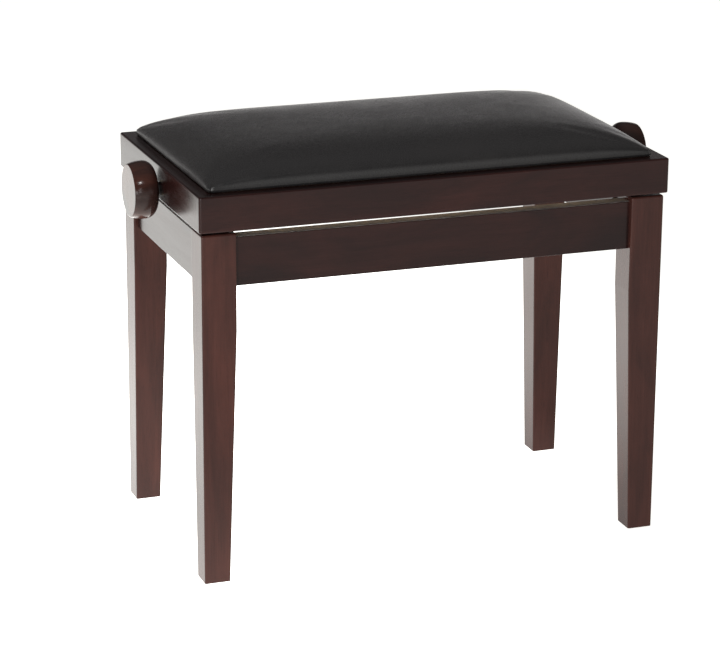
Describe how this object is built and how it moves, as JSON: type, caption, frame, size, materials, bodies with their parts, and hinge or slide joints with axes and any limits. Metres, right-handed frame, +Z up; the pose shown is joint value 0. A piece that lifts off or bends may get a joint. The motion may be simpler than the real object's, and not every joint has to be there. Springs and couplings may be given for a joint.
{
  "type": "adjustable piano bench",
  "caption": "Rectangular height-adjustable bench: padded leather seat in a wooden frame over a tapered-leg base, raised by a scissor lift turned by end knobs.",
  "frame": {"origin": "on the floor, under the middle of the bench", "axes": "+X along the bench's length towards the sliding end of the lift arms, +Y towards the back, +Z up"},
  "size_m": [0.629, 0.322, 0.4863],
  "materials": {
    "lacquered_wood": "satin dark rosewood lacquer",
    "knob_wood": "gloss dark rosewood lacquer",
    "plain_wood": "unfinished hardwood",
    "plywood": "unfinished plywood",
    "foam": "open-cell foam",
    "leather": "fine-grained black imitation leather",
    "black_steel": "satin black enamel",
    "zinc_steel": "zinc plated",
    "brass": "machined",
    "black_plastic": "moulded nylon"
  },
  "bodies": {
    "base": {"apron_back": "lacquered_wood", "apron_front": "lacquered_wood", "apron_left": "lacquered_wood", "apron_right": "lacquered_wood", "base_pivot_rings": "zinc_steel", "base_pivot_shaft": "zinc_steel", "base_pivot_sleeves": "zinc_steel", "base_rail_back": "black_steel", "base_rail_front": "black_steel", "base_rail_screws": "zinc_steel", "corner_block_back_left": "plain_wood", "corner_block_back_right": "plain_wood", "corner_block_front_left": "plain_wood", "corner_block_front_right": "plain_wood", "corner_block_screws": "zinc_steel", "foot_glides": "black_plastic", "leg_back_left": "lacquered_wood", "leg_back_right": "lacquered_wood", "leg_bolt_nuts": "zinc_steel", "leg_bolts": "zinc_steel", "leg_front_left": "lacquered_wood", "leg_front_right": "lacquered_wood"},
    "inner_arms": {"inner_arm_front": "black_steel", "inner_arm_back": "black_steel", "centre_pivot_shaft": "zinc_steel", "centre_pivot_washers": "zinc_steel"},
    "outer_arms": {"outer_arm_front": "black_steel", "outer_arm_back": "black_steel", "lower_slide_axle": "zinc_steel", "lower_slide_bushes": "black_plastic"},
    "nut": {"nut_bar": "black_steel", "spindle_nut": "brass", "trunnion_pins": "zinc_steel", "upper_slide_bushes": "black_plastic"},
    "spindle": {"spindle_rod": "zinc_steel", "knob_left": "knob_wood", "knob_right": "knob_wood", "knob_inserts": "brass", "thrust_collars": "zinc_steel", "collar_grub_screws": "zinc_steel"},
    "seat": {"frame_front": "lacquered_wood", "frame_back": "lacquered_wood", "frame_left": "lacquered_wood", "frame_right": "lacquered_wood", "frame_glue_blocks": "plain_wood", "seat_batten_left": "plain_wood", "seat_batten_middle": "plain_wood", "seat_batten_right": "plain_wood", "seat_board_screws": "zinc_steel", "seat_board": "plywood", "cushion_foam": "foam", "cushion_cover": "leather", "seat_rail_front": "black_steel", "seat_rail_back": "black_steel", "seat_rail_screws": "zinc_steel", "seat_pivot_pins": "zinc_steel", "spindle_bearing_left": "black_plastic", "spindle_bearing_right": "black_plastic", "bearing_screws": "zinc_steel"}
  },
  "joints": [
    {"name": "lift", "type": "hinge", "parent": "base", "child": "inner_arms", "pos_m": [-0.12, 0, 0.396], "axis": [0, -1, 0], "range_deg": [0, 28.32]},
    {"name": "centre_pivot", "type": "hinge", "parent": "inner_arms", "child": "outer_arms", "pos_m": [-0.00073, 0, 0.40925], "axis": [0, -1, 0], "range_deg": [-56.66, 0]},
    {"name": "seat_pivot", "type": "hinge", "parent": "outer_arms", "child": "seat", "pos_m": [-0.12, 0, 0.4225], "axis": [0, -1, 0], "range_deg": [0, 28.33]},
    {"name": "trunnion", "type": "hinge", "parent": "inner_arms", "child": "nut", "pos_m": [0.11853, 0, 0.4225], "axis": [0, -1, 0], "range_deg": [-28.33, 0]},
    {"name": "knob_turn", "type": "hinge", "parent": "seat", "child": "spindle", "pos_m": [0, 0, 0.4225], "axis": [1, 0, 0], "range_deg": [0, 3702.7]}
  ],
  "couplings": [
    {"joint": "centre_pivot", "follows": "lift", "ratio": -2},
    {"joint": "seat_pivot", "follows": "lift", "ratio": 1},
    {"joint": "trunnion", "follows": "lift", "ratio": -1},
    {"joint": "knob_turn", "follows": "lift", "ratio": 130.69}
  ]
}
